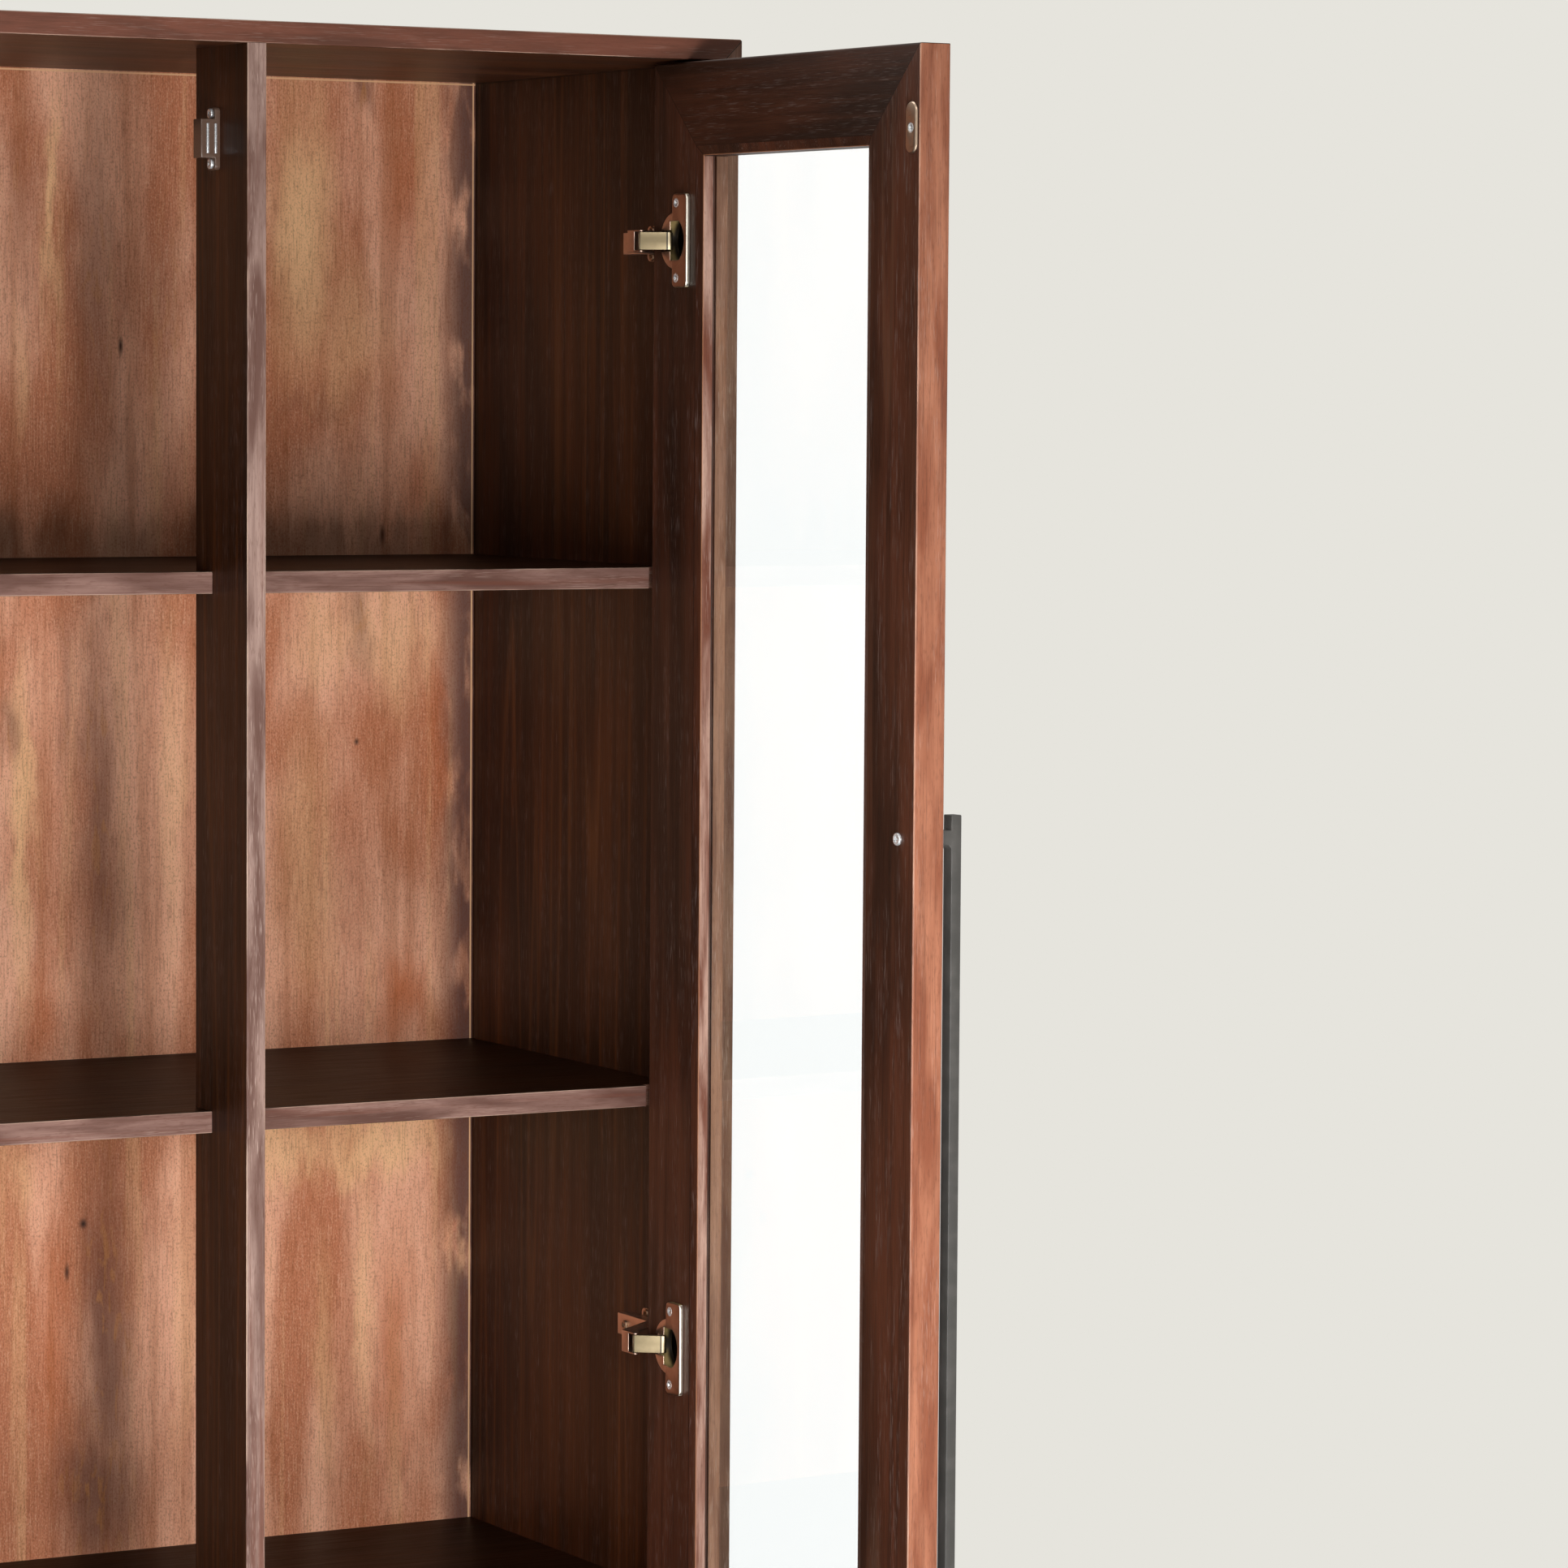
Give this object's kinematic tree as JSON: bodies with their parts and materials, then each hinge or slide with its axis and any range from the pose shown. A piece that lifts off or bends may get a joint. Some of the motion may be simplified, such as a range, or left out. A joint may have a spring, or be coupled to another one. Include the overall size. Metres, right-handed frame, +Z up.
{
  "type": "display cabinet",
  "caption": "Tall free-standing wooden display cabinet with framed glass doors on concealed cup hinges, notched shelves round a centre post, and magnetic catches.",
  "frame": {"origin": "on the floor, in the middle of the cabinet's footprint without its doors and handles", "axes": "+Z up, +Y from the doors to the back panel, +X to the right for someone facing the doors"},
  "size_m": [0.7624, 0.7009, 1.9],
  "materials": {
    "walnut_stained_board": "dark walnut stain, satin",
    "walnut_stained_frame": "dark walnut stain, satin",
    "back_panel_veneer": "mottled golden brown veneer, satin",
    "float_glass": "clear",
    "black_lacquered_metal": "black lacquer, semi-matt",
    "bronze_plated_steel": "brown bronze plating, satin",
    "nickel_plated_steel": "nickel plating, satin",
    "zinc_plated_steel": "zinc plating",
    "zinc_plated_screws": "zinc plating",
    "brown_plastic": "moulded"
  },
  "bodies": {
    "cabinet": {"back_panel": "back_panel_veneer", "back_panel_screws": "zinc_plated_screws", "bottom_board": "walnut_stained_board", "catch_bodies": "brown_plastic", "catch_poles": "zinc_plated_steel", "catch_screws": "zinc_plated_screws", "centre_post": "walnut_stained_board", "left_arm_screws": "zinc_plated_screws", "left_hinge_arms": "bronze_plated_steel", "left_hinge_plates": "bronze_plated_steel", "left_plate_screws": "zinc_plated_screws", "left_side": "walnut_stained_board", "plinth_back_rail": "walnut_stained_board", "plinth_centre_rail": "walnut_stained_board", "plinth_front_rail": "walnut_stained_board", "plinth_side_rails": "walnut_stained_board", "right_arm_screws": "zinc_plated_screws", "right_hinge_arms": "bronze_plated_steel", "right_hinge_plates": "bronze_plated_steel", "right_plate_screws": "zinc_plated_screws", "right_side": "walnut_stained_board", "shelf_1": "walnut_stained_board", "shelf_2": "walnut_stained_board", "shelf_3": "walnut_stained_board", "shelf_4": "walnut_stained_board", "shelf_lippings": "walnut_stained_board", "top_board": "walnut_stained_board"},
    "right_door": {"right_bottom_rail": "walnut_stained_frame", "right_cup_screws": "zinc_plated_screws", "right_free_stile": "walnut_stained_frame", "right_glass": "float_glass", "right_glazing_beads": "walnut_stained_frame", "right_handle": "black_lacquered_metal", "right_handle_screws": "zinc_plated_screws", "right_hinge_cups": "bronze_plated_steel", "right_hinge_stile": "walnut_stained_frame", "right_strike_plate": "zinc_plated_steel", "right_strike_screw": "zinc_plated_screws", "right_top_rail": "walnut_stained_frame"},
    "left_door": {"left_bottom_rail": "walnut_stained_frame", "left_cup_screws": "zinc_plated_screws", "left_free_stile": "walnut_stained_frame", "left_glass": "float_glass", "left_glazing_beads": "walnut_stained_frame", "left_handle": "black_lacquered_metal", "left_handle_screws": "zinc_plated_screws", "left_hinge_cups": "bronze_plated_steel", "left_hinge_stile": "walnut_stained_frame", "left_strike_plate": "zinc_plated_steel", "left_strike_screw": "zinc_plated_screws", "left_top_rail": "walnut_stained_frame"},
    "right_links": {"right_hinge_links": "nickel_plated_steel"},
    "left_links": {"left_hinge_links": "nickel_plated_steel"}
  },
  "joints": [
    {"name": "right_door_swing", "type": "hinge", "parent": "cabinet", "child": "right_door", "pos_m": [0.337, -0.1727, 0.983], "axis": [0, 0, 1], "range_deg": [-92, 10]},
    {"name": "left_door_swing", "type": "hinge", "parent": "cabinet", "child": "left_door", "pos_m": [-0.337, -0.1727, 0.983], "axis": [0, 0, -1], "range_deg": [-92, 10]},
    {"name": "right_link_turn", "type": "hinge", "parent": "cabinet", "child": "right_links", "pos_m": [0.309, -0.166, 0.983], "axis": [0, 0, 1], "range_deg": [-5.3, 48.1]},
    {"name": "left_link_turn", "type": "hinge", "parent": "cabinet", "child": "left_links", "pos_m": [-0.309, -0.166, 0.983], "axis": [0, 0, -1], "range_deg": [-5.3, 48.1]}
  ],
  "couplings": [
    {"joint": "right_link_turn", "follows": "right_door_swing", "ratio": -0.52174},
    {"joint": "left_link_turn", "follows": "left_door_swing", "ratio": -0.52174}
  ]
}
